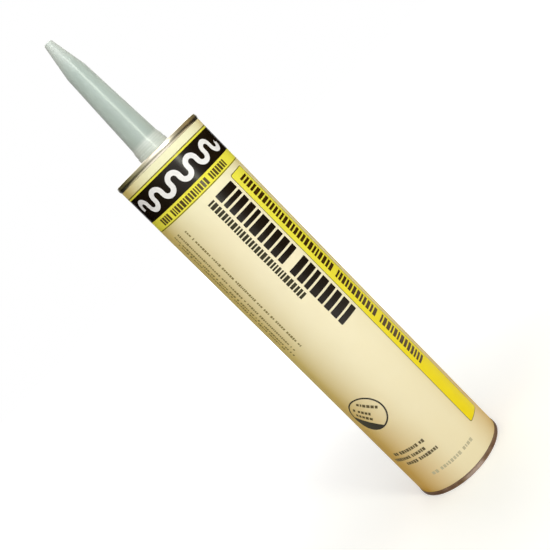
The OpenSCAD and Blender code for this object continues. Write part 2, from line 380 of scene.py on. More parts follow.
def markTree(wrap):
    # A row of small plain bars of random length and height, as unreadable type, wrapped round
    # the tube
    tree, board, source, sink = newTree("rowOfMarks", {
        "Int": ["Marks", "Seed"],
        "Vector": ["Start", "Run"],
        "Float": [
            "Row Length", "Height", "Shortest", "Longest", "Letter Gap", "Word Gap",
            "Word Chance", "Evenness", "Least Share", "Radius",
        ],
        "Material": ["Ink"],
    })
    index = board.node("GeometryNodeInputIndex").out()
    wholeRow = board.node("FunctionNodeInputInt", {"integer": 0}).out()
    run = source.out("Run")
    seed = source.out("Seed")

    def chance(low, high, which, drawSeed):
        return board.node("FunctionNodeRandomValue", {"data_type": "FLOAT"}, {
            "Min": low, "Max": high, "ID": which, "Seed": drawSeed,
        }).out()

    # Each mark's place along the row comes after the lengths and gaps of those before it
    length = chance(source.out("Shortest"), source.out("Longest"), index, seed * 10)
    wordEnd = chance(0.0, 1.0, index, seed * 10 + 1).maths("LESS_THAN", source.out("Word Chance"))
    tall = source.out("Height") * chance(source.out("Evenness"), 1.0, index, seed * 10 + 2)
    step = length + source.out("Letter Gap") + wordEnd * source.out("Word Gap")
    along = board.node("GeometryNodeAccumulateField", {"data_type": "FLOAT", "domain": "POINT"}, {
        "Value": step,
    }).out("Trailing")
    away = board.node("ShaderNodeVectorMath", {"operation": "SCALE"}, {
        0: run, "Scale": along + length / 2,
    })
    place = board.node("ShaderNodeVectorMath", {"operation": "ADD"}, {
        0: source.out("Start"), 1: away.out(),
    })
    points = board.node("GeometryNodePoints", None, {"Count": source.out("Marks")})
    placed = board.node("GeometryNodeSetPosition", None, {
        "Geometry": points.out(), "Position": place.out(),
    })
    # The row ends at a random share of its full length
    share = chance(source.out("Least Share"), 1.0, wholeRow, seed)
    late = (along + length).maths("GREATER_THAN", source.out("Row Length") * share)
    kept = board.node("GeometryNodeDeleteGeometry", {"domain": "POINT"}, {
        "Geometry": placed.out(), "Selection": late,
    })
    bar = board.node("GeometryNodeMeshGrid", None, {
        "Size X": 1.0, "Size Y": 1.0, "Vertices X": 3, "Vertices Y": 7,
    })
    upright = board.node("GeometryNodeTransform", None, {
        "Geometry": bar.out("Mesh"), "Rotation": (math.pi / 2, 0, 0),
    })
    lean = board.node("FunctionNodeAlignRotationToVector", {"axis": "X"}, {"Vector": run})
    size = board.node("ShaderNodeCombineXYZ", None, {"X": length, "Y": 1.0, "Z": tall})
    spread = board.node("GeometryNodeInstanceOnPoints", None, {
        "Points": kept.out(), "Instance": upright.out(), "Rotation": lean.out(),
        "Scale": size.out(),
    })
    whole = board.node("GeometryNodeRealizeInstances", None, {"Geometry": spread.out()})
    bent = board.node("GeometryNodeGroup", {"node_tree": wrap}, {
        "Geometry": whole.out(), "Radius": source.out("Radius"), "Ink": source.out("Ink"),
    })
    board.feed(sink.node.inputs[0], bent.out())
    return tree


def plainMesh(carrier):
    # The mesh that an object's modifier gives. The object itself is removed
    carrier.update_tag()
    bpy.context.view_layer.update()
    seen = carrier.evaluated_get(bpy.context.evaluated_depsgraph_get())
    result = bpy.data.meshes.new_from_object(seen)
    carrier.modifiers.clear()
    bpy.data.objects.remove(carrier)
    return result


def throughTree(name, mesh, tree, values):
    # Runs a mesh through a tree. Inputs are set by their identifiers
    carrier = newObject(name + "Carrier", mesh)
    modifier = carrier.modifiers.new("tree", "NODES")
    modifier.node_group = tree
    for item in tree.interface.items_tree:
        if item.in_out == "INPUT" and item.name in values:
            modifier[item.identifier] = values[item.name]
    return plainMesh(carrier)


def thickened(name, mesh, material, thickness):
    # Turns a wrapped print's faces outwards and gives it its film thickness, with its rim closed
    work = bmesh.new()
    work.from_mesh(mesh)
    bmesh.ops.remove_doubles(work, verts=work.verts, dist=weld)
    work.normal_update()
    for face in work.faces:
        middle = face.calc_center_median()
        if face.normal.dot(Vector((middle.x, middle.y, 0))) < 0:
            face.normal_flip()
    work.to_mesh(mesh)
    work.free()
    piece = newObject(name, mesh)
    skin = piece.modifiers.new("film", "SOLIDIFY")
    skin.thickness = thickness * mm
    skin.offset = 1
    return finishMesh(name, plainMesh(piece), material, 60)


# Print lies a hair above what it is printed on, in millimetres, so that nothing flickers
film = {
    "lift": 0.004, "liftOnBand": 0.034, "liftOnLine": 0.03,
    "thickness": 0.04, "panelThickness": 0.02, "markThickness": 0.03,
}


def wrapped(name, flat, tree, values, ink, lift, thickness):
    values = dict(values, Radius=(labelRadius + lift) * mm, Ink=ink)
    return thickened(name, throughTree(name, flat, tree, values), ink, thickness)


def printPiece(name, strips, ink, lift=film["lift"], thickness=film["thickness"]):
    return wrapped(name, stripMesh(name, strips), wrapOnTube, {}, ink, lift, thickness)


def markPiece(name, values, ink, lift):
    seed = bpy.data.meshes.new(name + "Seed")
    return wrapped(name, seed, rowOfMarks, values, ink, lift, film["markThickness"])


wrapOnTube = wrapTree()
rowOfMarks = markTree(wrapOnTube)
print("trees made")


# Finishes. Lengths in them are in metres, and noise scales are per metre

def boardFinish():
    # Kraft fibreboard: brown outside and at the cut edge, silvery liner in the bore
    look = {
        "kraft": "775439", "dark": "4c311d", "pale": "a58973",
        "liner": "a9aaa8", "linerWorn": "8c8d8c", "linerSeam": "6f7070",
        "fibres": 900, "patches": 90, "plies": 1500.0, "cutHeight": 0.00012,
        "seamPitch": 0.058, "seamFrom": 0.485, "seamTo": 0.515, "relief": 0.00006,
    }
    finish = Finish("kraftBoard", CoatWeight=0.9, CoatRoughness=0.2)
    x, y, z = finish.axes()
    fibre = finish.noise(look["fibres"], 5, 0.65, (1, 1, 0.25))
    patch = finish.noise(look["patches"], 3, 0.6).above(0.55, 0.18)
    plies = finish.node("ShaderNodeTexWave", {"wave_type": "RINGS", "rings_direction": "Z"}, {
        "Vector": finish.place, "Scale": look["plies"],
        "Distortion": 1.2, "Detail": 2.0, "Detail Scale": 0.4,
    }).out("Fac")
    cutEdge = (1 - z.above(look["cutHeight"], look["cutHeight"])) * plies
    brown = finish.mix(fibre, look["dark"], look["kraft"])
    brown = finish.mix(patch * 0.5, brown, look["pale"])
    brown = finish.mix(cutEdge * 0.55, brown, look["pale"])
    linerEdge = (boreRadius + 0.1) * mm
    lined = 1 - fromAxis(x, y).above(linerEdge, 0.00005)
    helix = x.maths("ARCTAN2", y) / (2 * math.pi) + z / look["seamPitch"]
    seam = helix.maths("FRACT").between(look["seamFrom"], look["seamTo"], 0.006)
    liner = finish.mix(fibre * 0.25, look["liner"], look["linerWorn"])
    liner = finish.mix(seam * 0.6, liner, look["linerSeam"])
    finish.set(
        BaseColor=finish.mix(lined, brown, liner),
        Metallic=lined * 0.3,
        Roughness=0.36 + lined * 0.06 + fibre * 0.14,
        Normal=finish.bump(fibre * 0.6 + seam * lined + cutEdge, look["relief"], 0.5),
    )
    return finish.material


# The wrap's varnish: its slow ripple shows in paper and ink alike
wrapLook = {
    "ripples": 38, "ripple": 0.00025, "paperShine": 0.3, "inkShine": 0.45, "inkRoughness": 0.22,
}


def rippled(finish, grain, relief, strength):
    # Normal of the rippled wrap, over the bump of a fine grain
    slow = finish.noise(wrapLook["ripples"], 2, 0.5, (1, 1, 0.35))
    return finish.bump(slow, wrapLook["ripple"], 0.35, finish.bump(grain, relief, strength))


def paperFinish():
    # Varnished paper. Its cream ground carries painted shade: darker and golden towards the sides,
    # less so at the back, and darker towards the rear end. Angles are from where the light falls
    # brightest, in degrees
    look = {
        # The side colours are painted shade, and so is the foot colour
        "top": "f0efcd", "middle": "f0e6c8", "foot": "e7dab7", "footTo": 0.055, "topFrom": 0.19,
        "side": "dbc476", "shadedSideFoot": "c99a36", "brightest": 12.0,
        "shadeFrom": 12.0, "deepestShade": 75.0, "shadeFadesFrom": 125.0, "back": 0.3,
        "lateFrom": 0.07, "fall": 1.3, "laterFall": 0.9, "clouds": 60, "fibres": 1400,
    }
    finish = Finish("varnishedPaperPaintedShade", SpecularIORLevel=wrapLook["paperShine"])
    x, y, z = finish.axes()
    turn = math.radians(look["brightest"])
    facing = x * math.sin(turn) - y * math.cos(turn)
    across = x * math.cos(turn) + y * math.sin(turn)
    around = across.maths("ABSOLUTE").maths("ARCTAN2", facing) * (180 / math.pi)
    # Painted side shade: none where the light falls brightest, full at the sides, lessened at the
    # back
    paintedSideShade = (around - look["shadeFrom"]) / (look["deepestShade"] - look["shadeFrom"])
    # The painted side shade is lighter higher up the tube
    fall = look["fall"] + z.above(look["lateFrom"], 0.05) * look["laterFall"]
    paintedSideShade = paintedSideShade.maths("MAXIMUM", 0.0).maths("MINIMUM", 1.0) ** fall
    paintedSideShade = paintedSideShade * (1 - around.above(look["shadeFadesFrom"], 30) * (1 - look["back"]))
    # Painted shade: the cream darkens towards the rear end, and the shaded sides turn more golden
    # there
    upper = z.above(look["footTo"], look["footTo"])
    front = finish.mix(upper, look["foot"], look["middle"])
    front = finish.mix(z.above(look["topFrom"], 0.03), front, look["top"])
    side = finish.mix(upper, look["shadedSideFoot"], look["side"])
    cloud = finish.noise(look["clouds"], 3, 0.55)
    fibre = finish.noise(look["fibres"], 4, 0.7, (1, 1, 0.5))
    paper = finish.mix(paintedSideShade, front, side)
    paper = finish.mix(cloud.above(0.5, 0.25) * 0.06, paper, look["side"])
    paper = finish.mix(fibre * 0.05, paper, look["side"])
    finish.set(
        BaseColor=paper,
        Roughness=0.4 + fibre * 0.12,
        Normal=rippled(finish, fibre, 0.00002, 0.35),
    )
    return finish.material


# Each ink's colour and the one that it is mottled with
inkLook = {
    "black": ("120a05", "180e07"), "white": ("f2f0f2", "e9e8ec"), "dark": ("140c06", "1c1209"),
    "grey": ("302d1c", "3b3724"), "umber": ("382302", "432c06"), "olive": ("6a6120", "7a7030"),
    "brown": ("4a3d1c", "5a4c28"), "fine": ("857848", "978a5c"), "faint": ("b3a887", "bfb596"),
}
# Yellow ink is golden towards the rear and lemon at the front end
yellowLook = {
    "rear": ("e9d002", "efd908"), "front": ("e8df44", "eee652"), "middle": 0.1, "shine": 0.12,
}


def printedInk(name, shine):
    # Ink under the varnish, with a soft gloss. Returned with the mottle for its colour
    finish = Finish(name, SpecularIORLevel=shine)
    grain = finish.noise(2600, 2, 0.5)
    finish.set(
        Roughness=wrapLook["inkRoughness"] + (grain - 0.5) * 0.12,
        Normal=rippled(finish, grain, 0.00001, 0.3),
    )
    return finish, finish.noise(320, 4, 0.6)


def makeInks():
    made = {}
    for name, (colour, second) in inkLook.items():
        finish, mottle = printedInk(name + "Ink", wrapLook["inkShine"])
        finish.set(BaseColor=finish.mix(mottle.above(0.5, 0.3), colour, second))
        made[name] = finish.material
    finish, mottle = printedInk("yellowInk", yellowLook["shine"])
    rear = finish.mix(mottle, *yellowLook["rear"])
    front = finish.mix(mottle, *yellowLook["front"])
    height = finish.axes()[2]
    finish.set(BaseColor=finish.mix(height.above(yellowLook["middle"], 0.09), rear, front))
    made["yellow"] = finish.material
    return made


def metalFinish():
    # Lacquered tinplate: warm, bright, with fine marks round the axis from the seaming rolls
    look = {
        "bright": "e6e1d4", "tan": "cfc4aa", "dull": "a89a7c",
        "linesAcross": 6000, "linesUp": 7000, "lineBreaks": 1.6, "clouds": 70, "relief": 0.00003,
    }
    finish = Finish("lacqueredTinplate", Metallic=1.0, CoatWeight=0.3, CoatRoughness=0.1)
    x, y, z = finish.axes()
    rolled = finish.node("ShaderNodeCombineXYZ", None, {
        "X": fromAxis(x, y) * look["linesAcross"] + z * look["linesUp"],
        "Y": x.maths("ARCTAN2", y) * look["lineBreaks"], "Z": 0.0,
    })
    lines = finish.node("ShaderNodeTexNoise", {"noise_dimensions": "2D"}, {
        "Vector": rolled.out(), "Scale": 1.0, "Detail": 3.0, "Roughness": 0.6,
    }).out()
    cloud = finish.noise(look["clouds"], 3, 0.6)
    tone = finish.mix(lines.above(0.5, 0.3), look["tan"], look["bright"])
    tone = finish.mix(cloud.above(0.62, 0.12) * 0.5, tone, look["dull"])
    finish.set(
        BaseColor=tone,
        Roughness=0.2 + lines * 0.12 + cloud * 0.06,
        Normal=finish.bump(lines, look["relief"], 0.4),
    )
    return finish.material


def nozzleFinish():
    # Natural polyethylene: greyish green, milky, its wall letting light through. Paler towards
    # the tip, and ringed with the mould's fine lines at the foot
    look = {
        "milky": "bbc9c7", "deep": "a8b7b4", "foot": "d8e0de", "tip": "cbd3d2",
        "clouds": 120, "grain": 1800, "rings": 5200, "depth": 0.003,
        "tipFrom": 7,  # millimetres over the shoulder
    }
    finish = Finish(
        "milkyPolyethylene", SubsurfaceWeight=0.5, SubsurfaceRadius=(look["depth"],) * 3,
        SpecularIORLevel=0.3, CoatWeight=1.0, CoatRoughness=0.25, SheenWeight=0.6,
    )
    height = finish.axes()[2]
    cloud = finish.noise(look["clouds"], 3, 0.5, (1, 1, 0.3))
    grain = finish.noise(look["grain"], 2, 0.5)
    shoulder = nozzleHigh.z - nozzleForm["steepLength"]
    tip = height.above((shoulder + look["tipFrom"]) * mm, 0.010)
    foot = 1 - height.above((frontHigh.z + nozzleForm["footTop"]) * mm, 0.0012)
    rings = (height * look["rings"]).maths("SINE") * 0.5 + 0.5
    tone = finish.mix(cloud, look["deep"], look["milky"])
    tone = finish.mix(tip, tone, look["tip"])
    tone = finish.mix(foot * (0.75 + rings * 0.25), tone, look["foot"])
    finish.set(BaseColor=tone, Roughness=0.42 + grain * 0.1)
    return finish.material


def plungerFinish():
    # Moulded polyethylene, dull, with the mould's turned marks
    look = {"dull": "dcdcd6", "pale": "efefe9", "grain": 900, "turnedMarks": 9000, "depth": 0.003}
    finish = Finish("mouldedCup", SubsurfaceWeight=0.2, SubsurfaceRadius=(look["depth"],) * 3)
    x, y, z = finish.axes()
    turned = (fromAxis(x, y) * look["turnedMarks"]).maths("SINE")
    grain = finish.noise(look["grain"], 3, 0.6)
    finish.set(
        BaseColor=finish.mix(grain, look["dull"], look["pale"]),
        Roughness=0.4 + grain * 0.15,
        Normal=finish.bump(turned * 0.3 + grain, 0.00002, 0.4),
    )
    return finish.material


def pasteFinish():
    # Tan construction adhesive, gritty and slightly shiny
    look = {"pale": "d9c398", "tan": "c7ac7a", "grit": 700, "clouds": 120}
    finish = Finish("tanPaste", SubsurfaceWeight=0.1)
    grit = finish.noise(look["grit"], 4, 0.6)
    cloud = finish.noise(look["clouds"], 3, 0.5)
    finish.set(
        BaseColor=finish.mix(cloud, look["pale"], look["tan"]),
        Roughness=0.35 + grit * 0.25,
        Normal=finish.bump(grit, 0.0002, 0.6),
    )
    return finish.material


def foilFinish():
    look = {"grey": "c9cacd", "pale": "e4e4e6", "creases": 420}
    finish = Finish("sealFoil", Metallic=1.0)
    crease = finish.noise(look["creases"], 3, 0.6)
    finish.set(
        BaseColor=finish.mix(crease, look["grey"], look["pale"]),
        Roughness=0.22 + crease * 0.15,
        Normal=finish.bump(crease, 0.0001, 0.5),
    )
    return finish.material


# Pieces, in millimetres

tubeForm = {
    "wall": 1.2, "bore": 47.2, "flareHeight": 2.2, "flareRound": 0.4, "mouthChamfer": 0.3,
}
boreRadius = tubeForm["bore"] / 2
wallRadius = boreRadius + tubeForm["wall"]


def makeTube():
    # Fibreboard tube with its rear edge flared and softened
    form = tubeForm
    flare = form["flareHeight"]
    corner = form["flareRound"]
    section = [(boreRadius, form["mouthChamfer"]), (boreRadius + form["mouthChamfer"], 0)]
    section += arc(flareRadius - corner, corner, corner, -90, 0)
    section += arc(flareRadius - corner, flare - corner, corner, 0, 70)
    section += [(wallRadius, flare + 0.02), (wallRadius, tubeHigh.z), (boreRadius, tubeHigh.z)]
    piece = spin("tubeShell", section, boardFinish())
    rideOn(piece, "cartridge", "fibreboard", "body_tube")


labelForm = {"thickness": 0.15, "lapWidth": 7.0}


def makeLabel():
    # Paper wrapped once round, with its end lapped over its start at the back
    lap = labelForm["thickness"]
    inner = labelRadius - lap
    lapAngle = labelForm["lapWidth"] / labelRadius
    first = math.pi / 2 - lapAngle / 2
    lastStep = 11
    outline = []
    for i in range(turns):
        angle = first + (2 * math.pi - lapAngle) * i / (turns - 1) + lapAngle
        outline.append((angle, labelRadius))
    for i in range(lastStep + 1):
        angle = first + lapAngle * i / lastStep
        rise = min(1, 0.25 + i, 0.25 + lastStep - i)  # the lap's two edges are rounded off
        outline.append((angle, labelRadius + lap * rise))
    verts = []
    for z in (labelLow.z, labelHigh.z):
        for angle, outer in outline:
            for radius in (inner, outer):
                x, y = math.cos(angle), math.sin(angle)
                verts.append((radius * mm * x, radius * mm * y, z * mm))
    count = len(outline)
    faces = []
    for i in range(count):
        a = 2 * i
        b = 2 * ((i + 1) % count)
        c = a + 2 * count
        d = b + 2 * count
        faces += [(a + 1, b + 1, d + 1, c + 1), (a, c, d, b)]
        faces += [(a, b, b + 1, a + 1), (c, c + 1, d + 1, d)]
    piece = finishMesh("labelWrap", newMesh("labelWrap", verts, faces), paperFinish(), 30)
    rideOn(piece, "cartridge", "label_paper", "label")


frontForm = {
    "metal": 0.3, "seat": 0.02, "innerRound": 0.4, "groove": 1.1, "hem": 0.15,
    "beadHeight": 3.2, "beadRound": 0.7, "beadBulge": 2.9, "bulgeDrop": 0.1, "crownIn": 0.15,
    "panelDepth": 3.4, "panelRound": 0.35, "panelStep": 0.8, "innerPanel": 15.5, "stepRound": 0.3,
    "collarHeight": 1.5, "collarRound": 0.4,
}


def makeFrontEnd():
    # One pressing: bead folded over the tube, wall, groove, stepped panel and collar
    form = frontForm
    metal = form["metal"]
    bulge = form["beadBulge"]
    crown, innerRound = form["beadRound"], form["innerRound"]
    panelRound, stepRound, collarRound = form["panelRound"], form["stepRound"], form["collarRound"]
    skirt = wallRadius + form["seat"]
    outer = boreRadius - form["seat"]
    inner = outer - metal
    top = frontHigh.z
    low = top - form["beadHeight"]
    middle = (low + top) / 2 - form["bulgeDrop"]
    grooveZ = frontLow.z + form["groove"]
    grooveR = outer - form["groove"]
    edge = grooveR - form["groove"]
    panel = top - form["panelDepth"]
    step = panel + form["panelStep"]
    innerPanel = form["innerPanel"]
    collarBore = nozzleForm["base"] / 2 + form["seat"]
    collarZ = step + form["collarHeight"]
    slotTop = tubeHigh.z + form["seat"]
    section = [(skirt, low), (skirt + form["hem"], low)]
    section += arc(beadRadius - bulge, middle, bulge, -30, 22, 10)
    section += arc(beadRadius - form["crownIn"] - crown, top - crown, crown, 24, 90, 8)
    section += arc(inner + innerRound, top - innerRound, innerRound, 90, 180)
    section += arc(grooveR, grooveZ, form["groove"] - metal, 0, -180, 10)
    section += arc(edge + metal - panelRound, panel - panelRound, panelRound, 0, 90, 5)
    section += [(innerPanel + metal + stepRound, panel), (innerPanel + metal, panel + stepRound)]
    section += arc(innerPanel + metal - stepRound, step - stepRound, stepRound, 0, 90, 4)
    section += arc(collarBore + metal + collarRound, step + collarRound, collarRound, -90, -180, 4)
    section += arc(collarBore + metal / 2, collarZ - metal / 2, metal / 2, 0, 180, 6)
    section += [(collarBore, step - metal), (innerPanel, step - metal)]
    section += [(innerPanel, panel - metal), (edge, panel - metal)]
    section += arc(grooveR, grooveZ, form["groove"], -180, 0, 12)
    section += [(outer, slotTop), (skirt, slotTop)]
    piece = spin("frontEnd", section, metalFinish(), 40)
    rideOn(piece, "cartridge", "tinplate", "front_end")


nozzleForm = {
    "wall": 1.2, "tip": 4.6, "tipRound": 0.45, "steepLength": 17.5, "shoulder": 10.9, "neck": 15.3,
    "base": 17.0, "footTop": 7.0, "stepHeight": 2.5, "stepIn": 0.3, "stepRound": 0.15,
    "coneHeight": 2.3, "flangeThickness": 1.4,
    "ringProud": 0.2, "ringWidth": 1.0, "ringHeight": -1.08, "ringRound": 0.2,
    "gate": [(0.5, 0), (0.35, 0.12), (0, 0.14)],  # radius and depth of the mark in the tip
}


def makeNozzle():
    # Hollow moulding with a closed tip, a steep taper, a long taper and a stepped base
    form = nozzleForm
    beadTop = frontHigh.z
    base = form["base"] / 2
    upper = base - form["stepIn"]
    neck, shoulder, tip = form["neck"] / 2, form["shoulder"] / 2, form["tip"] / 2
    wall, tipRound = form["wall"], form["tipRound"]
    stepRound, ringRound = form["stepRound"], form["ringRound"]
    stepZ = beadTop + form["stepHeight"]
    neckZ = beadTop + form["footTop"]
    coneZ = neckZ - form["coneHeight"]
    tipZ = nozzleHigh.z
    shoulderZ = tipZ - form["steepLength"]
    flangeZ = nozzleLow.z + form["flangeThickness"]
    ringR = base + form["ringProud"] - ringRound
    ringZ = beadTop + form["ringHeight"]
    section = [(0, tipZ - wall), ((tip - wall) * 1.5, tipZ - wall), (shoulder - wall, shoulderZ)]
    section += [(neck - wall, neckZ), (upper - wall, coneZ), (upper - wall, nozzleLow.z)]
    section += [(nozzleHigh.x, nozzleLow.z), (nozzleHigh.x, flangeZ), (base, flangeZ)]
    section += [(base, ringZ)]
    section += arc(ringR, ringZ + ringRound, ringRound, -90, 0, 3)
    section += arc(ringR, ringZ + form["ringWidth"] - ringRound, ringRound, 0, 90, 3)
    section += arc(base - stepRound, stepZ - stepRound, stepRound, 0, 90, 4)
    section += [(upper, stepZ + 0.05), (upper, coneZ)]
    section += [(upper * 0.45 + neck * 0.55, (coneZ + neckZ) / 2), (neck, neckZ)]
    for f in (0.3, 0.6, 0.93):
        section.append((neck + (shoulder - neck) * f, neckZ + (shoulderZ - neckZ) * f))
    # The shoulder is eased over a millimetre
    section += [(shoulder + (neck - shoulder) * 0.015, shoulderZ - 0.4)]
    section += [(shoulder - 0.12, shoulderZ + 0.6)]
    section += arc(tip - tipRound, tipZ - tipRound, tipRound, 12, 90, 6)
    section += [(radius, tipZ - depth) for radius, depth in form["gate"]]
    piece = spin("nozzleMoulding", section, nozzleFinish(), 38)
    rideOn(piece, "cartridge", "nozzle_plastic", "nozzle")


def makeSeal():
    radius = sealHigh.x
    section = [(0, sealLow.z), (radius, sealLow.z), (radius, sealHigh.z), (0, sealHigh.z)]
    piece = spin("sealMembrane", section, foilFinish())
    rideOn(piece, "cartridge", "foil", "inner_seal")


def makePaste():
    # Column of adhesive, dished at the foot over the plunger's face
    form = {
        "dish": 14.0, "slope": 4.0, "dishDepth": 2.0, "gap": 0.1, "crown": 21.28, "crownEdge": 0.1,
        "edge": 0.3, "leastKept": 0.004,
    }
    dish = form["dish"] - form["gap"]
    foot = pasteLow.z + form["dishDepth"]
    outer = pasteHigh.x
    top = pasteHigh.z
    shoulderZ = frontLow.z - form["gap"]
    edge, crown, crownEdge = form["edge"], form["crown"], form["crownEdge"]
    section = [(0, pasteLow.z), (dish, pasteLow.z)]
    section += [(form["dish"] + form["slope"] - form["gap"], foot)]
    section += [(outer - edge, foot), (outer, foot + edge)]
    section += [(outer, shoulderZ - edge), (outer - edge, shoulderZ), (crown, shoulderZ)]
    section += [(crown, top - crownEdge), (crown - crownEdge, top), (0, top)]
    piece = spin("adhesivePaste", section, pasteFinish())
    rideOn(piece, "cartridge", "adhesive_paste", "adhesive")
    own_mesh(piece)


def makePlunger():
    # Moulded cup with two sealing lips, open to the rear
    form = {
        "lipProud": 0.35, "lipHeight": 1.6, "lipEdge": 0.15, "rearEdge": 0.2, "skirtWall": 1.3,
        "web": 1.6, "webRound": 1, "dishDepth": 2.0, "dish": 14.0, "slope": 4.0,
        "gate": [(1.6, 0), (1.5, 0.25), (0, 0.3)],  # radius and height of the mark inside
    }
    rear, front = cupLow.z, cupHigh.z
    lip, lipEdge, rearEdge = lipRadius, form["lipEdge"], form["rearEdge"]
    skirt = lip - form["lipProud"]
    cup = skirt - form["skirtWall"]
    web, webRound = form["web"], form["webRound"]
    dish, face = form["dish"], form["dish"] + form["slope"]
    deep = front - form["dishDepth"]
    half = form["lipHeight"] / 2
    section = [(0, deep), (dish, deep), (face, front), (lip - lipEdge, front)]
    section += [(lip, front - lipEdge), (lip, front - half), (skirt, front - form["lipHeight"])]
    section += [(skirt, rear + form["lipHeight"]), (lip, rear + half), (lip, rear + rearEdge)]
    section += [(lip - rearEdge, rear), (cup + lipEdge, rear), (cup, rear + lipEdge)]
    section += arc(cup - webRound, front - web - webRound, webRound, 0, 90, 5)
    section += [(face, front - web), (dish, deep - web)]
    section += [(radius, deep - web + height) for radius, height in form["gate"]]
    piece = spin("plungerCup", section, plungerFinish(), 40)
    rideOn(piece, "plunger", "plunger_plastic", "plunger")


bandForm = {
    "hairlines": [(206.55, 0.5), (185.75, 0.45)],  # middle height and width
    "yellowLine": 0.85, "lapClear": 0.05,
    "legs": 11, "pitch": 5.6, "stroke": 2.5,  # of the serpentine
}


def bandPiece(name, low, high, ink, lift=film["lift"]):
    # A band right round the label, with a piece of its own on the raised lap
    reach = math.pi * labelRadius
    half = reach - labelForm["lapWidth"] / 2
    lapHalf = labelForm["lapWidth"] / 2 - bandForm["lapClear"]

    def strip(start, width, steps):
        places = (start + width * i / steps for i in range(steps + 1))
        return [((x, low), (x, high)) for x in places]

    around = strip(-half, 2 * half, turns)
    over = strip(reach - lapHalf, 2 * lapHalf, 12)
    pieces = [
        printPiece(name + "Main", [around], ink, lift),
        printPiece(name + "Lap", [over], ink, lift + labelForm["thickness"]),
    ]
    return joined(name, pieces, ink)


def serpentineStrip(middle, height):
    # Pairs of points on both sides of the serpentine's centre line
    legs, pitch = bandForm["legs"], bandForm["pitch"]
    radius = pitch / 2
    half = bandForm["stroke"] / 2
    reach = height / 2 - radius - half
    first = -(legs - 1) / 2 * pitch
    bendSteps = 16
    path = [(first, middle - reach)]
    for bend in range(legs - 1):
        side = 1 if bend % 2 == 0 else -1
        x = first + (bend + 0.5) * pitch
        for step in range(bendSteps + 1):
            angle = math.pi * (1 - step / bendSteps)
            rise = reach + radius * math.sin(angle)
            path.append((x + radius * math.cos(angle), middle + side * rise))
    path.append((-first, middle - reach))
    strip = []
    for i, (x, z) in enumerate(path):
        before = path[max(0, i - 1)]
        after = path[min(len(path) - 1, i + 1)]
        run = Vector((after[0] - before[0], after[1] - before[1])).normalized()
        strip.append(((x - run.y * half, z + run.x * half), (x + run.y * half, z - run.x * half)))
    return strip


def makeBands():
    low, high = boxOf("black_band")
    band = bandPiece("blackBand", low.z, high.z, inks["black"])
    rideOn(band, "cartridge", "black_ink", "black_band")
    line = bandPiece("yellowLine", high.z, high.z + bandForm["yellowLine"], inks["yellow"])
    rideOn(line, "cartridge", "yellow_ink")
    low, high = boxOf("yellow_band")
    band = bandPiece("yellowBand", low.z, high.z, inks["yellow"])
    rideOn(band, "cartridge", "yellow_ink", "yellow_band")
    for i, (middle, width) in enumerate(bandForm["hairlines"]):
        low, high = middle - width / 2, middle + width / 2
        line = bandPiece("hairline%d" % (i + 1), low, high, inks["olive"], film["liftOnBand"])
        rideOn(line, "cartridge", "dark_ink")
    low, high = boxOf("serpentine")
    strip = serpentineStrip((low.z + high.z) / 2, high.z - low.z)
    mark = printPiece("serpentineMark", [strip], inks["white"], film["liftOnBand"])
    rideOn(mark, "cartridge", "white_ink", "serpentine")


# Fields of print. Offsets are from the front to a field's middle, round the label
fieldForm = {
    "panelOffset": 23.6, "panelWidth": 12.2, "panelCorner": 1.2, "panelLine": 0.4,
    "titleOffset": 10.3, "titleWidth": 11.2, "titleCorner": 0.35,
    "emblemOffset": -18.2, "emblemRim": 0.8, "emblemChord": 5.0, "emblemTurn": 40.0,
}


def emblemStrips(middle, radius):
    # A ring, and a segment of the disc inside it
    form = fieldForm
    inner = radius - form["emblemRim"]
    centre = form["emblemOffset"]
    chord = form["emblemChord"]
    turn = math.radians(form["emblemTurn"])
    ringSteps, chordSteps = 96, 32
    ring = []
    for step in range(ringSteps + 1):
        angle = 2 * math.pi * step / ringSteps
        c, s = math.cos(angle), math.sin(angle)
        ring.append(tuple((centre + r * c, middle + r * s) for r in (inner, radius)))
    reach = math.sqrt(inner ** 2 - chord ** 2)
    segment = []
    for step in range(chordSteps + 1):
        x = reach * (-1 + 2 * step / chordSteps)
        pair = []
        for y in (-chord, -math.sqrt(inner ** 2 - x ** 2)):
            pair.append((
                centre + x * math.cos(turn) + y * math.sin(turn),
                middle - x * math.sin(turn) + y * math.cos(turn),
            ))
        segment.append(tuple(pair))
    return [ring, segment]


def makeFields():
    form = fieldForm
    low, high = boxOf("side_panel")
    left = form["panelOffset"] - form["panelWidth"] / 2
    right = left + form["panelWidth"]
    outline = roundedStrip(left, right, low.z, high.z, form["panelCorner"])
    thin = film["panelThickness"]
    line = printPiece("panelLine", [outline], inks["olive"], film["lift"], thin)
    rideOn(line, "cartridge", "dark_ink")
    edge = form["panelLine"]
    corner = form["panelCorner"] - edge
    field = roundedStrip(left + edge, right - edge, low.z + edge, high.z - edge, corner)
    panel = printPiece("sidePanel", [field], inks["yellow"], film["liftOnLine"], thin)
    rideOn(panel, "cartridge", "yellow_ink", "side_panel")

    # The bars of the title stand at the heights of the node's own
    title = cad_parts["title_blocks"].data
    heights = sorted({round(v.co.z / mm, 2) for v in title.vertices})
    left = form["titleOffset"] - form["titleWidth"] / 2
    right = left + form["titleWidth"]
    bars = []
    for low, high in zip(heights[0::2], heights[1::2]):
        bars.append(roundedStrip(left, right, low, high, form["titleCorner"]))
    title = printPiece("titleBars", bars, inks["dark"])
    rideOn(title, "cartridge", "dark_ink", "title_blocks")

    low, high = boxOf("ring_emblem")
    strips = emblemStrips((low.z + high.z) / 2, (high.z - low.z) / 2)
    emblem = printPiece("ringEmblem", strips, inks["dark"])
    rideOn(emblem, "cartridge", "dark_ink", "ring_emblem")


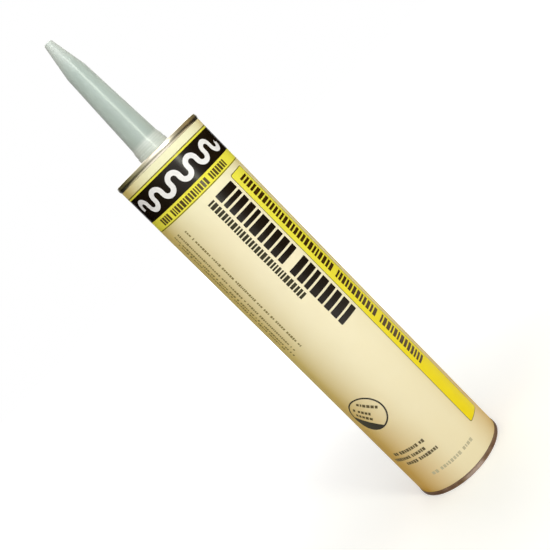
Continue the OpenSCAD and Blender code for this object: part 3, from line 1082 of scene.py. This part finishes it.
# Rows of small marks where the label has small print. Start is the left or upper end of each row's
# middle line, as the distance round from the front and the height, in millimetres. Rows run down
# the tube, or across it, or at an angle from across it
markRows = {
    "subtitleMarks": {
        "ink": "grey", "start": [(1.4, 180.5)], "length": 61.5, "tall": 3.8, "share": 1.0,
        "mark": (0.9, 1.9), "gap": 0.6, "wordGap": 1.6, "wordChance": 0.05, "evenness": 0.94,
        "seed": 3,
    },
    "fineMarks": {
        "ink": "fine", "start": [(-17.2, 179), (-22.4, 180), (-26.0, 180), (-28.4, 176)],
        "length": 84, "tall": 1.5, "mark": (0.5, 1.2), "gap": 0.35, "wordGap": 0.9,
        "wordChance": 0.2, "evenness": 0.55, "seed": 5,
    },
    "panelMarks": {
        "ink": "umber", "start": [(23.9, 178.2)], "length": 125, "tall": 6.4, "lift": 0.05,
        "share": 1.0, "mark": (1.0, 2.1), "gap": 0.8, "wordGap": 2.4, "wordChance": 0.05,
        "evenness": 0.95, "seed": 8,
    },
    "bandMarks": {
        "ink": "brown", "start": [(-24.2, 188.6)], "length": 46.9, "tall": 3.7, "angle": 0,
        "lift": 0.04, "share": 1.0, "mark": (0.7, 1.6), "gap": 0.55, "wordGap": 1.4,
        "wordChance": 0.1, "evenness": 0.96, "seed": 12,
    },
    "emblemMarks": {
        "ink": "brown", "start": [(-19.0, 63.6), (-23.6, 61.6), (-24.6, 58.4)], "length": 12,
        "tall": 1.8, "angle": 40, "mark": (0.7, 1.6), "gap": 0.45, "wordGap": 1.0,
        "wordChance": 0.2, "evenness": 0.75, "seed": 21,
    },
    "cautionMarks": {
        "ink": "brown", "start": [(-26, 30), (-29.4, 26.3), (-23.4, 22.9)], "length": 24,
        "tall": 2.0, "angle": 0, "mark": (0.7, 1.5), "gap": 0.35, "wordGap": 0.9,
        "wordChance": 0.12, "evenness": 0.75, "seed": 15,
    },
    "footMarks": {
        "ink": "faint", "start": [(-15.6, 12.7)], "length": 32, "tall": 2.0, "angle": 0,
        "mark": (0.7, 1.6), "gap": 0.5, "wordGap": 1.2, "wordChance": 0.25, "evenness": 0.75,
        "seed": 18,
    },
}


def makeMarks():
    mostMarks = 90
    for name, row in markRows.items():
        ink = inks[row["ink"]]
        run = (0, 0, -1)
        if "angle" in row:
            down = math.radians(row["angle"])
            run = (math.cos(down), 0, -math.sin(down))
        shortest, longest = row["mark"]
        values = {
            "Marks": mostMarks, "Run": run, "Row Length": row["length"] * mm,
            "Height": row["tall"] * mm, "Shortest": shortest * mm, "Longest": longest * mm,
            "Letter Gap": row["gap"] * mm, "Word Gap": row["wordGap"] * mm,
            "Word Chance": row["wordChance"], "Evenness": row["evenness"],
            "Least Share": row.get("share", 0.8),
        }
        lift = row.get("lift", film["lift"])
        pieces = []
        for i, (x, z) in enumerate(row["start"]):
            own = dict(values, Start=(x * mm, 0, z * mm), Seed=row["seed"] + i)
            pieces.append(markPiece("%s%d" % (name, i + 1), own, ink, lift))
        piece = pieces[0] if len(pieces) == 1 else joined(name, pieces, ink)
        piece.name = name
        rideOn(piece, "cartridge", "dark_ink")


# Room, lamps and camera. All lengths from here on are in metres

roomForm = {
    "floor": 5.0, "mouth": 0.023, "fill": 0.32, "nearGlow": 0.25, "farGlow": 0.9, "shadowTo": 0.45,
    "cardTo": 159,  # degrees from the front. Behind, the outlines have the white room to reflect
    # What surfaces reflect: a tone at each angle from the front, in degrees
    "tones": [
        (-150, "3d3b26"), (-120, "4c4829"), (-80, "85825f"), (-45, "b6b69f"), (-20, "f1f1ee"),
        (34, "f1f1f0"), (48, "bfbcae"), (70, "8f866c"), (100, "aa976f"), (125, "7a6c4a"),
        (150, "625c3c"),
    ],
}

# Rings of glowing card round the object, each between two circles, given as radius and height. The
# contrast is a power on the tones. A card close to the object has its tones narrowed, because each
# spot of it is reflected straight above it
cards = {
    "cardRim": {
        "near": (0.0256, 0.0002), "far": (0.03, 0.0002), "strength": 5.0, "contrast": 4.0,
        "narrow": 2.2,
    },
    "cardNear": {"near": (0.03, 0.001), "far": (0.42, 0.001), "strength": 1.6, "contrast": 0.5},
    "cardGround": {"near": (0.42, 0.001), "far": (1.4, 0.001), "strength": 0.5, "contrast": 3.0},
    "cardFoot": {"near": (1.4, 0.001), "far": (1.4, 0.14), "strength": 0.5, "contrast": 3.0},
    "cardLevel": {"near": (1.4, 0.14), "far": (1.4, 0.265), "strength": 0.6, "contrast": 2.4},
    "cardWall": {"near": (1.4, 0.265), "far": (1.4, 1.6), "strength": 1.2, "contrast": 1.0},
}

# Soft lamps, each at an azimuth (from the front to the right), an elevation and a distance from the
# object's middle. Power is in watts, and a grid keeps the light within that many degrees of the
# lamp's axis
lamps = {
    "stripLamp": {
        "at": (24, 20, 0.9), "size": (0.13, 0.6), "power": 2.6, "colour": (0.97, 1.0, 0.84),
    },
    "frontLamp": {"at": (8, 22, 1.0), "size": (0.8, 0.6), "power": 0.8},
    "keyLamp": {"at": (10, 46, 1.2), "size": (1.0, 0.8), "power": 3.2},
    "leftLamp": {
        "at": (-56, 25, 1.2), "size": (0.8, 0.8), "power": 2.0, "colour": (1.0, 0.9, 0.64),
        "reflected": False,
    },
    "rightLamp": {
        "at": (80, 25, 1.2), "size": (0.8, 0.8), "power": 1.8, "colour": (1.0, 0.9, 0.7),
        "reflected": False,
    },
    "backLamp": {"at": (180, 40, 1.2), "size": (0.8, 0.8), "power": 4.0},
    "mouthLamp": {"at": (0, -90, 0.5), "size": (0.2, 0.2), "power": 0.15, "grid": 60},
}


def stageMesh(name, verts, faces, look):
    # Part of the room. Its glow is only looked at, so it isn't sampled as a light
    look.material.cycles.emission_sampling = "NONE"
    mesh = newMesh(name, verts, faces)
    mesh.materials.append(look.material)
    made = newObject(name, mesh)
    return made


def reflectedCard(name, form):
    # Seen only in reflections
    last = roomForm["cardTo"]
    steps = 48
    verts = []
    for i in range(steps + 1):
        a = math.radians(last * (2 * i / steps - 1))
        for radius, height in (form["near"], form["far"]):
            verts.append((radius * math.sin(a), -radius * math.cos(a), height))
    faces = [(2 * i, 2 * i + 2, 2 * i + 3, 2 * i + 1) for i in range(steps)]
    look = Finish(name, BaseColor="000000", SpecularIORLevel=0.0)
    x, y, z = look.axes()
    turn = x.maths("ARCTAN2", -y) * (form.get("narrow", 1.0) / (2 * math.pi)) + 0.5
    stops = [(angle / 360 + 0.5, linear(tone)) for angle, tone in roomForm["tones"]]
    ramp = look.node("ShaderNodeValToRGB", {"stops": stops}, {"Fac": turn})
    deep = look.node("ShaderNodeGamma", None, {
        "Color": ramp.out("Color"), "Gamma": form["contrast"],
    })
    look.set(EmissionColor=deep.out(), EmissionStrength=form["strength"])
    card = stageMesh(name, verts, faces, look)
    for kind in ("camera", "diffuse", "transmission", "shadow"):
        setattr(card, "visible_" + kind, False)


def makeFloor():
    # Pale floor, seen as white away from the object's shadow and see-through from below. It is open
    # under the tube's mouth, so that light gets to the plunger in views from there
    form = roomForm
    look = Finish("paleFloor", BaseColor=(0.86, 0.86, 0.86, 1), Roughness=0.9, SpecularIORLevel=0.0)
    seen = look.node("ShaderNodeLightPath").out("Is Camera Ray")
    under = look.node("ShaderNodeNewGeometry").out("Backfacing")
    x, y, z = look.axes()
    far = fromAxis(x, y).above(form["shadowTo"] / 2, form["shadowTo"] / 2)
    glow = form["nearGlow"] + far * (form["farGlow"] - form["nearGlow"])
    look.set(EmissionColor=seen * glow, EmissionStrength=1.0, Alpha=1 - under)
    steps = 64
    verts = []
    for i in range(steps):
        a = 2 * math.pi * i / steps
        verts += [(r * math.cos(a), r * math.sin(a), 0) for r in (form["mouth"], form["floor"] / 2)]
    faces = []
    for i in range(steps):
        a, b = 2 * i, 2 * ((i + 1) % steps)
        faces.append((a, a + 1, b + 1, b))
    floor = stageMesh("floor", verts, faces, look)
    floor.visible_shadow = False


def makeWorld():
    # Even fill light, and plain white to the camera and in reflections
    world = bpy.data.worlds.new("whiteRoom")
    bpy.context.scene.world = world
    world.use_nodes = True
    sky = Board(world.node_tree)
    path = sky.node("ShaderNodeLightPath")
    clear = path.out("Is Camera Ray")
    for kind in ("Is Glossy Ray", "Is Transmission Ray"):
        clear = clear.maths("MAXIMUM", path.out(kind))
    back = world.node_tree.nodes["Background"]
    back.inputs["Color"].default_value = (1, 1, 1, 1)
    fill = roomForm["fill"]
    sky.feed(back.inputs["Strength"], fill + clear * (1 - fill))


def makeLamp(name, form):
    middle = Vector((0, 0, 0.14))
    azimuth, elevation, distance = form["at"]
    a = math.radians(azimuth)
    e = math.radians(elevation)
    away = Vector((math.sin(a) * math.cos(e), -math.cos(a) * math.cos(e), math.sin(e)))
    data = bpy.data.lights.new(name, "AREA")
    data.shape = "RECTANGLE"
    data.size, data.size_y = form["size"]
    data.energy = form["power"]
    data.color = form.get("colour", (1, 1, 1))
    data.spread = math.radians(form.get("grid", 180))
    made = newObject(name, data)
    made.location = middle + away * distance
    made.rotation_euler = away.to_track_quat("Z", "Y").to_euler()
    made.visible_camera = False
    made.visible_glossy = form.get("reflected", True)
    made.visible_transmission = made.visible_glossy


def cameraForPhoto():
    # Pinhole fitted to the photo's outline: angles in degrees, focal length and frame in pixels
    view = {
        "distance": 0.4334, "height": 0.20695, "down": 9.757, "side": -0.14, "roll": 44.86,
        "focal": 913.3, "frame": 550,
    }
    data = bpy.data.cameras.new("photoCamera")
    data.sensor_width = 36
    data.lens = view["focal"] * data.sensor_width / view["frame"]
    data.clip_start = 0.01
    made = newObject("photoCamera", data)
    side = math.radians(view["side"])
    down = math.radians(view["down"])
    flat = math.cos(down)
    away = Vector((math.sin(side) * flat, math.cos(side) * flat, -math.sin(down)))
    level = away.to_track_quat("-Z", "Y").to_matrix()
    roll = Matrix.Rotation(-math.radians(view["roll"]), 3, "Z")
    made.rotation_euler = (level @ roll).to_euler()
    made.location = (0, -view["distance"], view["height"])
    bpy.context.scene.camera = made


makeTube()
makeLabel()
print("tube and label made")
makeFrontEnd()
makeNozzle()
makeSeal()
print("front end and nozzle made")
makePaste()
makePlunger()
print("adhesive and plunger made")
inks = makeInks()
makeBands()
makeFields()
makeMarks()
print("label printed")

makeFloor()
for name, form in cards.items():
    reflectedCard(name, form)
makeWorld()
for name, form in lamps.items():
    makeLamp(name, form)
cameraForPhoto()
bpy.context.scene.view_settings.view_transform = "Standard"
print("room lit")
